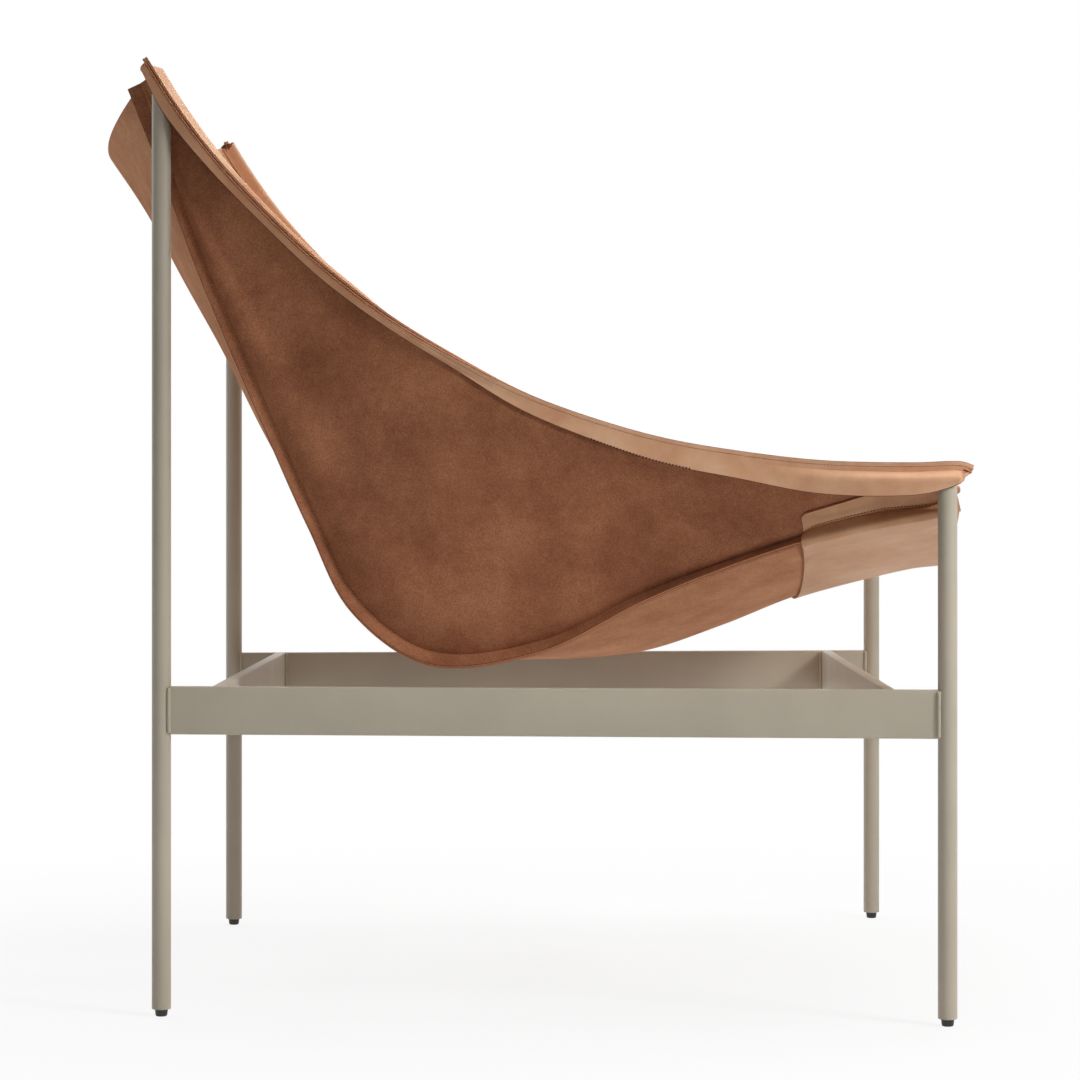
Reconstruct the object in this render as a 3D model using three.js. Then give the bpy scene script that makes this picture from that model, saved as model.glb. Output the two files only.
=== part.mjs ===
// A lounge chair: a leather sling hangs in pockets on the four posts of a welded steel frame.
// Millimetres, +Z up, +X to the front, +Y to the sitter's left. The origin is under the middle of the chair.

import * as THREE from "three";

const { lerp, smoothstep } = THREE.MathUtils;

// Frame
const legSpacing = 652; // front to back, between the centres of the posts
const frontWidth = 660; // across, between the centres of the front posts
const backWidth = 560;
const frontTubeTop = 446; // where the steel ends, above the floor
const backTubeTop = 772;
const tubeDiameter = 16;
const tubeWall = 1.5;
const tubeChamfer = 0.8;
const endPlate = 5; // closes the foot of each tube and holds the glide's stud
const railTop = 276; // above the floor
const railHeight = 40;
const railThickness = 10;
const railEdge = 0.8; // rounding along the edges of the flat bars
const crossRailInset = 47; // from a post's centre to the middle of the cross rail
const weldLeg = 4.5; // how far a bead runs out along the bar
const weldThroat = 1.6; // how far it stands off the bar

// Glides and caps
const footHeight = 6;
const footTopDiameter = 11;
const footBottomDiameter = 9.6;
const footEdge = 1.2;
const studDiameter = 6;
const studLength = 14;
const capHeight = 3;
const capSkirt = 14;
const fit = 0.3; // between pieces that touch, and between a plug and its bore

// Sling
const leather = 2.5;
const slingLow = 281; // middle of the leather at its lowest point, under the seat
const edgeBow = 10; // how far the long edges are drawn in between the posts
const topMargin = 8; // raw margin outside the stitches of the top edge
const seamMargin = 10; // the same beside the centre panel
const bandWidth = 30; // widest place of the outer band
const edgeCrown = 3.6; // how high the leather arches over the back post
const seatBulge = 6; // how far a side panel swells outwards
const bodyDrop = 4.5; // from the foot of the arch to where the flat of the panel starts
const pocketHalf = 16; // a pocket stays open this far from the middle of its post, inwards
const pocketTaper = 42; // and then closes over this length
const mouthHalf = 10; // the same towards the end of the edge
const mouthTaper = 30;

const tubeRadius = tubeDiameter / 2;
const boreRadius = tubeRadius - tubeWall;
const plyStep = leather + fit; // from the middle of one layer to the middle of the next
const frontPostTop = frontTubeTop + capHeight;
const backPostTop = backTubeTop + capHeight;
const pocketDepth = tubeDiameter + 2 * fit + leather - plyStep;

// The sling's three lines from back to front, one row for each station.
// Along: 0 at the back posts, 1 at the front posts. Across: 1 at the posts' centres.
// Height: 0 at the lowest point of the sling, 1 at the line from post top to post top.
const edgeAlongHeightShares = [
  [-0.017, 1.039], [0.019, 0.987], [0.069, 0.928], [0.138, 0.865], [0.215, 0.807],
  [0.3, 0.759], [0.384, 0.728], [0.468, 0.704], [0.553, 0.7], [0.645, 0.714],
  [0.744, 0.761], [0.846, 0.842], [0.959, 1.003], [1.017, 1.124], [1.033, 1.142],
];
const seamAlongAcrossHeightShares = [
  [-0.048, 0.927, 0.976], [-0.004, 0.931, 0.859], [0.036, 0.915, 0.732], [0.077, 0.89, 0.611],
  [0.128, 0.855, 0.461], [0.183, 0.813, 0.291], [0.238, 0.779, 0.134], [0.338, 0.736, 0.027],
  [0.484, 0.732, 0.062], [0.622, 0.778, 0.225], [0.729, 0.831, 0.369], [0.821, 0.886, 0.51],
  [0.921, 0.933, 0.679], [0.985, 0.954, 0.808], [1.022, 0.956, 0.899],
];
const keelAlongHeightShares = [
  [-0.122, 0.868], [-0.07, 0.799], [-0.013, 0.695], [0.041, 0.591], [0.1, 0.452],
  [0.165, 0.306], [0.235, 0.17], [0.338, 0.036], [0.478, 0.014], [0.622, 0.041],
  [0.737, 0.142], [0.839, 0.283], [0.941, 0.434], [1.005, 0.546], [1.045, 0.61],
];
const bandWidthShares = [
  0.24, 0.28, 0.3, 0.27, 0.3, 0.28, 0.32, 0.48, 0.58, 0.7, 0.77, 0.93, 0.9, 0.61, 0.2,
];
const stepCounts = [4, 4, 3, 2, 2, 2, 3, 3, 2, 2, 2, 2, 4, 4]; // rows from each station to the next
const turnedSteps = 24; // facets around a tube, a glide or a cap
const lastStation = edgeAlongHeightShares.length - 1;

// Shares of the way along the sling
const foldShares = [0.29, 0.54]; // the top margin turns from outwards to upwards
const crownFadeShares = [0, 0.27]; // the arch comes down to its low height
const lowCrownShare = 0.5;
const bodyShares = [0.018, 0.99]; // the flat of a side panel is shorter than its edge,
const bodyFrontShare = 0.065; // and its front corner is drawn back by this share
const drawnBackPower = 6; // which is felt only close to that corner
const tipShares = [0.95, 0.55]; // where the margin starts to narrow, and what is left of it
const cuffStartShare = 11 / 14; // the cuff's back edge is at the last station but three
const cuffRoomShares = [0.74, 0.9]; // the side panel moves in, to leave room for the cuff at the post
const cuffTopShares = [0.767, 0.13]; // how far down the panel the cuff starts, at its back and front

// Rows across the leather: how far out, up and down, from a fold to the next stitch row
const archInRiseFallShares = [[0.2, 0.8, 0.15], [0.55, 1, 0.35], [0.9, 0.5, 0.6]];
const bandOutFallShares = [[0.5, 0.3], [1, 0.8]];
const footRiseShare = 0.5; // how high the arch still is where it meets the flat of the panel
const bodyRowShares = [0, 0.22, 0.45, 0.68, 0.86]; // down a side panel, from its flat to its seam
const spanShares = [1, 0.84, 0.64, 0.43, 0.21, 0]; // across the centre panel, from seam to middle
const cuffRowShares = [0, 0.33, 0.67]; // down the cuff, to its stitches

const colours = { coat: "#a79f90", plastic: "#1e1b1a", suede: "#75492f", smooth: "#b78c6a" };
const materials = {
  powder_coat: new THREE.MeshStandardMaterial({ color: colours.coat, roughness: 0.55, metalness: 0 }),
  glide: new THREE.MeshStandardMaterial({ color: colours.plastic, roughness: 0.6, metalness: 0 }),
  suede: new THREE.MeshStandardMaterial({ color: colours.suede, roughness: 0.95, metalness: 0 }),
  smooth_leather: new THREE.MeshStandardMaterial({ color: colours.smooth, roughness: 0.6, metalness: 0 }),
};

const chair = new THREE.Group();

function add(name, geometry, material) {
  const mesh = new THREE.Mesh(geometry, material);
  mesh.name = name;
  chair.add(mesh);
  return mesh;
}

// Corners of the frame: name, place along (0 back, 1 front) and side (-1 right, 1 left).
const corners = [];
for (const [end, along] of [["back", 0], ["front", 1]])
  for (const [hand, side] of [["right", -1], ["left", 1]])
    corners.push({ end, hand, along, side, top: along ? frontTubeTop : backTubeTop });

const xAt = (along) => (along - 0.5) * legSpacing;
const halfWidthAt = (along) => lerp(backWidth, frontWidth, along) / 2;

// A turned piece stands on its lowest point, at a corner of the frame.
function turned(name, corner, z, profile, material) {
  const points = profile.map(([radius, height]) => new THREE.Vector2(radius, height));
  const mesh = add(name, new THREE.LatheGeometry(points, turnedSteps), material);
  mesh.rotation.x = Math.PI / 2;
  mesh.position.set(xAt(corner.along), corner.side * halfWidthAt(corner.along), z);
}

function leg(corner) {
  const length = corner.top - footHeight;
  const studBore = studDiameter / 2 + fit;
  const profile = [
    [studBore, 0], [tubeRadius - tubeChamfer, 0], [tubeRadius, tubeChamfer], [tubeRadius, length],
    [boreRadius, length], [boreRadius, endPlate], [studBore, endPlate], [studBore, 0],
  ];
  turned(`${corner.end}_leg_${corner.hand}`, corner, footHeight, profile, materials.powder_coat);
}

function footGlide(corner) {
  const profile = [
    [0, 0], [footBottomDiameter / 2 - footEdge, 0], [footBottomDiameter / 2, footEdge],
    [footTopDiameter / 2, footHeight], [studDiameter / 2, footHeight],
    [studDiameter / 2, footHeight + studLength], [0, footHeight + studLength],
  ];
  turned(`${corner.end}_foot_glide_${corner.hand}`, corner, 0, profile, materials.glide);
}

function postCap(corner) {
  const skirt = boreRadius - fit;
  const shoulder = Math.SQRT1_2;
  const profile = [
    [0, -capSkirt], [skirt, -capSkirt], [skirt, 0], [tubeRadius, 0],
    [lerp(skirt, tubeRadius, shoulder), capHeight * shoulder], [tubeRadius / 2, capHeight], [0, capHeight],
  ];
  turned(`${corner.end}_post_cap_${corner.hand}`, corner, corner.top, profile, materials.glide);
}

// A flat bar on edge, from its outline seen from above.
function flatBar(name, outline) {
  const shape = new THREE.Shape(outline.map(([x, y]) => new THREE.Vector2(x, y)));
  const geometry = new THREE.ExtrudeGeometry(shape, {
    depth: railHeight - 2 * railEdge, bevelThickness: railEdge, bevelSize: railEdge,
    bevelOffset: -railEdge, bevelSegments: 2,
  });
  geometry.translate(0, 0, railTop - railHeight + railEdge);
  add(name, geometry, materials.powder_coat);
}

// The side rails follow the taper of the frame: their direction and the one square to it.
const taper = Math.atan((frontWidth - backWidth) / 2 / legSpacing);
const railPoint = (side, centre, run, off) => [
  centre.x + run * Math.cos(taper) - off * Math.sin(taper),
  side * (centre.y + run * Math.sin(taper) + off * Math.cos(taper)),
];

function sideRail(hand, side) {
  const start = { x: xAt(0), y: halfWidthAt(0) };
  const length = legSpacing / Math.cos(taper);
  const near = tubeRadius + fit;
  const half = railThickness / 2;
  const outline = [[near, -half], [length - near, -half], [length - near, half], [near, half]];
  flatBar(`side_rail_${hand}`, outline.map(([run, off]) => railPoint(side, start, run, off)));
}

// Half the clear width between the side rails, at a place along the chair.
const clearHalf = (x) =>
  halfWidthAt(x / legSpacing + 0.5) - (railThickness / 2) / Math.cos(taper) - fit;

function crossRail(end, inward) {
  const middle = -inward * (legSpacing / 2 - crossRailInset);
  const faces = [middle - railThickness / 2, middle + railThickness / 2];
  const [back, front] = faces;
  flatBar(`${end}_cross_rail`, [
    [back, -clearHalf(back)], [front, -clearHalf(front)], [front, clearHalf(front)], [back, clearHalf(back)],
  ]);
}

// A weld bead is an upright three-sided strip in the corner between two pieces.
function bead(name, outline) {
  const points = outline.map(([x, y]) => new THREE.Vector2(x, y));
  if (THREE.ShapeUtils.area(points) < 0) points.reverse();
  const depth = railHeight - 2 * railEdge;
  const geometry = new THREE.ExtrudeGeometry(new THREE.Shape(points), { depth, bevelEnabled: false });
  geometry.translate(0, 0, railTop - railHeight + railEdge);
  add(name, geometry, materials.powder_coat);
}

function legWelds({ end, hand, along, side }) {
  const face = railThickness / 2 + fit;
  const reach = tubeRadius + fit;
  const touch = (off) => Math.sqrt(reach * reach - off * off); // the tube's side, at that offset
  const centre = { x: xAt(along), y: halfWidthAt(along) };
  const inward = along ? -1 : 1;
  const section = [
    [touch(face), face], [touch(face) + weldLeg, face], [touch(face + weldThroat), face + weldThroat],
  ];
  for (const [place, out] of [["inner", -1], ["outer", 1]])
    bead(`${end}_leg_weld_${hand}_${place}`,
      section.map(([run, off]) => railPoint(side, centre, inward * run, out * off)));
}

function crossRailWelds({ end, hand, along, side }) {
  const middle = (along ? 1 : -1) * (legSpacing / 2 - crossRailInset);
  for (const [place, out] of [["rear", -1], ["front", 1]]) {
    const face = middle + out * (railThickness / 2 + fit);
    const far = face + out * weldThroat;
    bead(`${end}_cross_weld_${hand}_${place}`, [
      [face, side * clearHalf(face)], [far, side * clearHalf(far)],
      [face, side * (clearHalf(face) - weldThroat)],
    ]);
  }
}

// The sling's lines, as curves through their stations. A point is (along, out from the middle, up).
const heightAt = (along, share) =>
  slingLow + share * (lerp(backPostTop, frontPostTop, along) - slingLow);
const curveThrough = (rows, point) => new THREE.CatmullRomCurve3(rows.map(point));
const edgeLine = curveThrough(edgeAlongHeightShares, ([along, height]) =>
  new THREE.Vector3(xAt(along), 0, heightAt(along, height)));
const seamLine = curveThrough(seamAlongAcrossHeightShares, ([along, across, height]) =>
  new THREE.Vector3(xAt(along), across * halfWidthAt(along), heightAt(along, height)));
const keelLine = curveThrough(keelAlongHeightShares, ([along, height]) =>
  new THREE.Vector3(xAt(along), 0, heightAt(along, height)));

function bandWidthAt(u) {
  const place = u * lastStation;
  const k = Math.min(Math.floor(place), lastStation - 1);
  return bandWidth * lerp(bandWidthShares[k], bandWidthShares[k + 1], place - k);
}

// From 0 where the two layers lie together to 1 around a post
function pocketOpening(x) {
  const around = (postX, inward) => {
    const past = (x - postX) * inward;
    const [open, taper] = past > 0 ? [pocketHalf, pocketTaper] : [mouthHalf, mouthTaper];
    return 1 - smoothstep(Math.abs(past), open, open + taper);
  };
  return around(xAt(0), 1) + around(xAt(1), -1);
}

const cuffRoom = (u) => plyStep * smoothstep(u, ...cuffRoomShares);

// A place on the long edge, and the directions used there
function edgeFrame(u) {
  const point = edgeLine.getPoint(u);
  const tangent = edgeLine.getTangent(u);
  const along = point.x / legSpacing + 0.5;
  const drawnIn = edgeBow * Math.max(0, 4 * along * (1 - along));
  const panelOut = halfWidthAt(along) - tubeRadius - fit - leather / 2 - drawnIn - cuffRoom(u);
  const up = new THREE.Vector3(-tangent.z, 0, tangent.x);
  // out: from the side panel outwards; rise: square to the edge, upwards
  const at = (out, rise) =>
    new THREE.Vector3(point.x, panelOut + out, point.z).addScaledVector(up, rise);
  return { x: point.x, at };
}

// The section of the top edge, where the side panel and the outer band are sewn together
function topSection(u) {
  const { x, at } = edgeFrame(u);
  const turn = smoothstep(u, ...foldShares);
  const angle = (turn * Math.PI) / 2;
  const [cos, sin] = [Math.cos(angle), Math.sin(angle)];
  const open = pocketDepth * pocketOpening(x) + cuffRoom(u);
  const margin = topMargin * lerp(1, tipShares[1], smoothstep(u, tipShares[0], 1));
  const crown = edgeCrown * lerp(1, lowCrownShare, smoothstep(u, ...crownFadeShares));
  const root = [lerp(open + plyStep, open / 2, turn), (plyStep / 2) * cos - margin * sin];
  const bandRoot = [root[0] + plyStep * sin, root[1] - plyStep * cos];
  const foot = root[1] - lerp(crown * footRiseShare, margin, turn);
  return { at, turn, cos, sin, open, margin, crown, root, bandRoot, foot };
}

// The flat of a side panel: its top, its seam, and the inward normal beside the seam
function panelFrame(u) {
  const { at, foot } = topSection(lerp(...bodyShares, u) - bodyFrontShare * u ** drawnBackPower);
  const top = at(0, foot - bodyDrop);
  const seam = seamLine.getPoint(u);
  const down = seam.clone().sub(top).normalize();
  const inward = seamLine.getTangent(u).cross(down).normalize();
  if (inward.y > 0) inward.negate();
  const stitch = seam.clone().addScaledVector(down, -seamMargin);
  const swell = seatBulge * Math.sin(Math.PI * u) ** 2;
  const flat = (share) => {
    const point = top.clone().lerp(stitch, share);
    point.y += swell * Math.sin(Math.PI * share);
    return point;
  };
  return { seam, stitch, down, inward, flat };
}

function sidePanelRow(u) {
  const { at, turn, cos, sin, margin, crown, root, foot } = topSection(u);
  const arch = archInRiseFallShares.map(([inShare, riseShare, fallShare]) =>
    at(root[0] * (1 - inShare), root[1] + lerp(crown * riseShare, -margin * fallShare, turn)));
  const { seam, stitch, flat } = panelFrame(u);
  return [
    at(root[0] + margin * cos, root[1] + margin * sin), at(...root), ...arch, at(0, foot),
    ...bodyRowShares.map(flat), stitch, seam,
  ];
}

function outerBandRow(u) {
  const { at, cos, sin, open, margin, bandRoot } = topSection(u);
  const [rootOut, rootRise] = bandRoot;
  const fall = Math.min(margin, rootRise + bandWidthAt(u));
  const spread = bandOutFallShares.map(([outShare, fallShare]) =>
    at(lerp(rootOut, open + plyStep, outShare), rootRise - fall * fallShare));
  return [
    at(rootOut + margin * cos, rootRise + margin * sin), at(...bandRoot), ...spread,
    at(open + plyStep, -bandWidthAt(u)),
  ];
}

// The centre panel's margins lie against the side panels, and between them it sags or bows.
function centreHalfRow(u) {
  const { seam, stitch, inward } = panelFrame(u);
  const edge = stitch.clone().addScaledVector(inward, plyStep);
  const keel = keelLine.getPoint(u);
  const across = (share) => {
    const point = edge.clone().lerp(keel, 1 - share * share);
    point.y = edge.y * share;
    return point;
  };
  return [seam.clone().addScaledVector(inward, plyStep), ...spanShares.map(across)];
}

const mirrored = (point) => new THREE.Vector3(point.x, -point.y, point.z);
const bothSides = (halfRow) => [...halfRow.map(mirrored), ...halfRow.slice(0, -1).reverse()];

// The cuff wraps the front of both seams and the underside of the seat.
function cuffHalfRow(u) {
  const { seam, stitch, down, inward, flat } = panelFrame(u);
  const place = (u - cuffStartShare) / (1 - cuffStartShare);
  const start = lerp(cuffTopShares[1], cuffTopShares[0], (1 - place) ** 2);
  const off = (point, inwards, lower) =>
    point.clone().addScaledVector(inward, inwards).addScaledVector(down, lower);
  const here = centreHalfRow(u);
  const step = 1 / lastStation / Math.max(...stepCounts);
  const [before, after] = [centreHalfRow(u - step), centreHalfRow(Math.min(1, u + step))];
  const under = here.slice(2).map((point, k) => {
    const lengthways = after[k + 2].clone().sub(before[k + 2]);
    const crossways = here[k + 1].clone().sub(here[k + 3] ?? mirrored(here[k + 1]));
    const normal = lengthways.cross(crossways).normalize();
    return point.clone().addScaledVector(normal, normal.z > 0 ? -plyStep : plyStep);
  });
  return [
    ...cuffRowShares.map((share) => off(flat(lerp(start, 1, share)), -plyStep, 0)),
    off(stitch, -plyStep, 0), off(seam, -plyStep, fit), off(seam, -plyStep / 2, plyStep),
    off(seam, plyStep * 1.5, plyStep), off(seam, plyStep * 2, fit), ...under,
  ];
}

// Positive where the faces of a closed mesh point outwards.
function signedVolume(points, index) {
  let sum = 0;
  for (let k = 0; k < index.length; k += 3) {
    const [a, b, c] = [points[index[k]], points[index[k + 1]], points[index[k + 2]]];
    sum += a.dot(b.clone().cross(c));
  }
  return sum;
}

// A closed sheet of leather around the grid of points through its middle. Past halfColumns its
// squares are split the other way, so that the two halves of the chair match.
function sheet(name, rows, material, halfColumns = Infinity) {
  const direction = (a, b) => b.clone().sub(a).normalize();
  const bend = (before, here, after) => {
    const sum = new THREE.Vector3();
    if (before) sum.add(direction(before, here));
    if (after) sum.add(direction(here, after));
    return sum.normalize();
  };
  const faces = [[], []];
  rows.forEach((row, i) =>
    row.forEach((point, j) => {
      const lengthways = bend(rows[i - 1]?.[j], point, rows[i + 1]?.[j]);
      const crossways = bend(row[j - 1], point, row[j + 1]);
      const normal = lengthways.cross(crossways).normalize();
      faces.forEach((face, k) =>
        face.push(point.clone().addScaledVector(normal, (k ? 1 : -1) * (leather / 2))));
    }));
  const [m, n] = [rows.length, rows[0].length];
  const at = (face, i, j) => face * m * n + i * n + j;
  const index = [];
  const quad = (a, b, c, d, flipped) =>
    flipped ? index.push(b, c, d, b, d, a) : index.push(a, b, c, a, c, d);
  for (let i = 0; i < m - 1; i++)
    for (let j = 0; j < n - 1; j++) {
      const flipped = j >= halfColumns;
      quad(at(1, i, j), at(1, i + 1, j), at(1, i + 1, j + 1), at(1, i, j + 1), flipped);
      quad(at(0, i, j), at(0, i, j + 1), at(0, i + 1, j + 1), at(0, i + 1, j), flipped);
    }
  for (let i = 0; i < m - 1; i++) {
    quad(at(0, i, 0), at(0, i + 1, 0), at(1, i + 1, 0), at(1, i, 0));
    quad(at(1, i, n - 1), at(1, i + 1, n - 1), at(0, i + 1, n - 1), at(0, i, n - 1));
  }
  for (let j = 0; j < n - 1; j++) {
    quad(at(1, 0, j), at(1, 0, j + 1), at(0, 0, j + 1), at(0, 0, j));
    quad(at(0, m - 1, j), at(0, m - 1, j + 1), at(1, m - 1, j + 1), at(1, m - 1, j));
  }
  const points = faces.flat();
  if (signedVolume(points, index) < 0) index.reverse();
  const geometry = new THREE.BufferGeometry().setFromPoints(points);
  geometry.setIndex(index);
  geometry.computeVertexNormals();
  add(name, geometry, material);
}

const stations = [
  ...stepCounts.flatMap((count, k) =>
    Array.from({ length: count }, (_, step) => (k + step / count) / lastStation)),
  1,
];

function sling() {
  for (const [hand, side] of [["right", -1], ["left", 1]]) {
    const rowsOf = (row) => stations.map((u) => (side < 0 ? row(u).map(mirrored) : row(u)));
    sheet(`side_panel_${hand}`, rowsOf(sidePanelRow), materials.suede);
    sheet(`outer_band_${hand}`, rowsOf(outerBandRow), materials.smooth_leather);
  }
  const across = (name, places, halfRow, material) =>
    sheet(name, places.map((u) => bothSides(halfRow(u))), material, halfRow(1).length - 1);
  across("centre_panel", stations, centreHalfRow, materials.suede);
  const cuffStations = stations.filter((u) => u >= cuffStartShare);
  across("front_cuff", cuffStations, cuffHalfRow, materials.smooth_leather);
}

corners.forEach((corner) => {
  leg(corner);
  footGlide(corner);
  postCap(corner);
  legWelds(corner);
  crossRailWelds(corner);
});
sideRail("right", -1);
sideRail("left", 1);
crossRail("back", 1);
crossRail("front", -1);
sling();

// The origin moves to the floor under the middle of the chair's box.
const middle = new THREE.Box3().setFromObject(chair).getCenter(new THREE.Vector3());
const part = new THREE.Group();
chair.position.x = -middle.x;
part.add(chair);

export default part;
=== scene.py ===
import math

import bpy
from mathutils import Matrix, Vector, noise


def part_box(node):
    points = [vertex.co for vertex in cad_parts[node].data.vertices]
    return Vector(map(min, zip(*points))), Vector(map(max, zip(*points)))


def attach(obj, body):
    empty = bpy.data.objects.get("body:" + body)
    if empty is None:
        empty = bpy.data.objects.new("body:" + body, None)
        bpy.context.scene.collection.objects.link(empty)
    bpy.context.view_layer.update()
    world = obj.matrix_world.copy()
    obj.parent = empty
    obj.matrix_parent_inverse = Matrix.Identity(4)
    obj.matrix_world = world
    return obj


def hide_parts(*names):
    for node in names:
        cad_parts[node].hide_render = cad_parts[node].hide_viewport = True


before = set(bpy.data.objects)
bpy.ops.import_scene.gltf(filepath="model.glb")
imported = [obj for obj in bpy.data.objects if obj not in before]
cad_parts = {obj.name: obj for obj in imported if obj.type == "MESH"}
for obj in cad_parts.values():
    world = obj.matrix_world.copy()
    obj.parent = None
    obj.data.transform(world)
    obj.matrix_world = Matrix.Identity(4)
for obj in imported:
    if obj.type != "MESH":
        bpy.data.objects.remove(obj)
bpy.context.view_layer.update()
bpy.ops.object.select_all(action="DESELECT")
print("frame loaded:", len(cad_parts), "nodes")


# Small helpers

def metres(value):
    return value / 1000


def mix(a, b, share):
    return a + (b - a) * share


def smoothstep(value, start, end):
    share = min(max((value - start) / (end - start), 0), 1)
    return share * share * (3 - 2 * share)


def middleOf(node):
    low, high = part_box(node)
    return (low + high) / 2


def finishPiece(piece, name, body, slot, materials, *nodes):
    piece.name = piece.data.name = name
    if materials:
        piece.data.materials.clear()
        for material in materials:
            piece.data.materials.append(material)
    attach(piece, body)
    if nodes:
        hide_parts(*nodes)
    return piece


# Materials

def linear(hexColour):
    channels = [int(hexColour[k:k + 2], 16) / 255 for k in (1, 3, 5)]
    return (*[c / 12.92 if c <= 0.04045 else ((c + 0.055) / 1.055) ** 2.4 for c in channels], 1)


def addNode(tree, kind, settings=None, **inputs):
    made = tree.nodes.new("ShaderNode" + kind)
    for name, value in (settings or {}).items():
        setattr(made, name, value)
    for name, value in inputs.items():
        socket = made.inputs[int(name[1:])] if name[0] == "n" and name[1:].isdigit() else made.inputs[name]
        if isinstance(value, bpy.types.NodeSocket):
            tree.links.new(value, socket)
        else:
            socket.default_value = value
    return made


def newMaterial(name, **shader):
    material = bpy.data.materials.new(name)
    material.use_nodes = True
    tree = material.node_tree
    principled = tree.nodes["Principled BSDF"]
    for socket, value in shader.items():
        principled.inputs[socket.replace("_", " ")].default_value = value
    return material, tree, principled


def perMillimetre(size):
    return 1000 / size  # the scale of a texture whose features are that many millimetres wide


def noiseAt(tree, coordinates, size, detail=3, roughness=0.55):
    found = addNode(tree, "TexNoise", Vector=coordinates, Scale=perMillimetre(size), Detail=detail,
                    Roughness=roughness)
    return found.outputs["Fac"]


def ramp(tree, factor, stops):
    made = addNode(tree, "ValToRGB", n0=factor)
    elements = made.color_ramp.elements
    while len(elements) < len(stops):
        elements.new(0.5)
    for element, (position, colour) in zip(elements, stops):
        element.position = position
        element.color = linear(colour) if isinstance(colour, str) else (colour, colour, colour, 1)
    return made.outputs["Color"]


def blendColour(tree, mode, share, below, above):
    made = addNode(tree, "Mix", {"data_type": "RGBA", "blend_type": mode}, n0=share, n6=below, n7=above)
    return made.outputs[2]


def bump(tree, height, depth, strength, normal=None):
    made = addNode(tree, "Bump", Height=height, Distance=metres(depth), Strength=strength)
    if normal:
        tree.links.new(normal, made.inputs["Normal"])
    return made.outputs["Normal"]


# Suede: the flesh side of vegetable-tanned hide, buffed to a short nap. Matt, with a soft bright rim
# and cloudy patches where the nap lies one way or the other. A real nap is 0.5 mm and finer, so it is
# drawn coarser here to show.
suedeLook = {"dark": "#8d583d", "middle": "#a36a4b", "light": "#b87c5a",
             "mottle": 85, "clump": 9, "nap": 1.3}  # widths in millimetres


def suede(name, look):
    material, tree, shader = newMaterial(
        name, Roughness=0.94, Sheen_Weight=0.22, Sheen_Roughness=0.45, Specular_IOR_Level=0.18)
    shader.inputs["Sheen Tint"].default_value = linear(look["light"])
    here = addNode(tree, "TexCoord").outputs["Object"]
    mottle = noiseAt(tree, here, look["mottle"], 5, 0.62)
    clump = noiseAt(tree, here, look["clump"], 4, 0.6)
    nap = noiseAt(tree, here, look["nap"], 3, 0.7)
    base = ramp(tree, mottle, [(0.3, look["dark"]), (0.5, look["middle"]), (0.72, look["light"])])
    clouds = ramp(tree, clump, [(0.3, 0.42), (0.7, 0.58)])
    patchy = blendColour(tree, "SOFT_LIGHT", 0.6, base, clouds)
    fibres = ramp(tree, nap, [(0.3, 0.25), (0.7, 0.75)])
    colour = blendColour(tree, "SOFT_LIGHT", 0.85, patchy, fibres)
    tree.links.new(colour, shader.inputs["Base Color"])
    relief = bump(tree, nap, 0.22, 0.8, bump(tree, clump, 0.5, 0.5))
    tree.links.new(relief, shader.inputs["Normal"])
    return material


# Smooth leather: the grain side of the same hide, waxed. Satin, with fine pores and faint streaks.
smoothLook = {"dark": "#d79f79", "middle": "#e4b089", "light": "#efc29e",
              "mottle": 48, "streak": 11, "pore": 0.7}


def smoothLeather(name, look):
    material, tree, shader = newMaterial(name, Roughness=0.55, IOR=1.5, Specular_IOR_Level=0.35)
    here = addNode(tree, "TexCoord").outputs["Object"]
    mottle = noiseAt(tree, here, look["mottle"], 4, 0.6)
    streak = noiseAt(tree, here, look["streak"], 5, 0.65)
    base = ramp(tree, mottle, [(0.28, look["dark"]), (0.5, look["middle"]), (0.74, look["light"])])
    veins = ramp(tree, streak, [(0.3, 0.43), (0.7, 0.57)])
    tone = blendColour(tree, "SOFT_LIGHT", 0.6, base, veins)
    cells = addNode(tree, "TexVoronoi", {"feature": "DISTANCE_TO_EDGE"}, Vector=here,
                    Scale=perMillimetre(look["pore"]))
    pores = ramp(tree, cells.outputs["Distance"], [(0.0, 0.0), (0.22, 1.0)])
    colour = blendColour(tree, "MULTIPLY", 0.05, tone, pores)
    tree.links.new(colour, shader.inputs["Base Color"])
    relief = bump(tree, pores, 0.03, 0.5, bump(tree, streak, 0.35, 0.35))
    tree.links.new(relief, shader.inputs["Normal"])
    return material


# Cut edge: the raw section of the hide, denser and darker than its faces, with loose fibres. Its
# corners are painted much darker: partly rubbing, partly painted shade in the gaps between plies.
edgeLook = {"dark": "#b0714b", "middle": "#c58560", "light": "#d69a74", "fibre": 1.1}
rubbedAndShadedCornerLook = {"dark": "#4a2012", "middle": "#5e2c19", "light": "#763d24", "fibre": 2.4}


def cutEdge(name, look):
    material, tree, shader = newMaterial(name, Roughness=0.85, Specular_IOR_Level=0.25)
    here = addNode(tree, "TexCoord").outputs["Object"]
    fibre = noiseAt(tree, here, look["fibre"], 4, 0.7)
    base = ramp(tree, fibre, [(0.3, look["dark"]), (0.5, look["middle"]), (0.72, look["light"])])
    tree.links.new(base, shader.inputs["Base Color"])
    tree.links.new(bump(tree, fibre, 0.2, 0.6), shader.inputs["Normal"])
    return material


# Thread: bonded polyester in the leather's own brown, waxed, so each strand catches a small light.
# The needle holes beside it are only dark: no light gets into them.
def waxedThread(name, dark, light, roughness):
    material, tree, shader = newMaterial(name, Roughness=roughness, Specular_IOR_Level=0.3)
    here = addNode(tree, "TexCoord").outputs["Object"]
    strand = noiseAt(tree, here, 0.8, 2)
    tree.links.new(ramp(tree, strand, [(0.3, dark), (0.7, light)]), shader.inputs["Base Color"])
    return material


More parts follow.
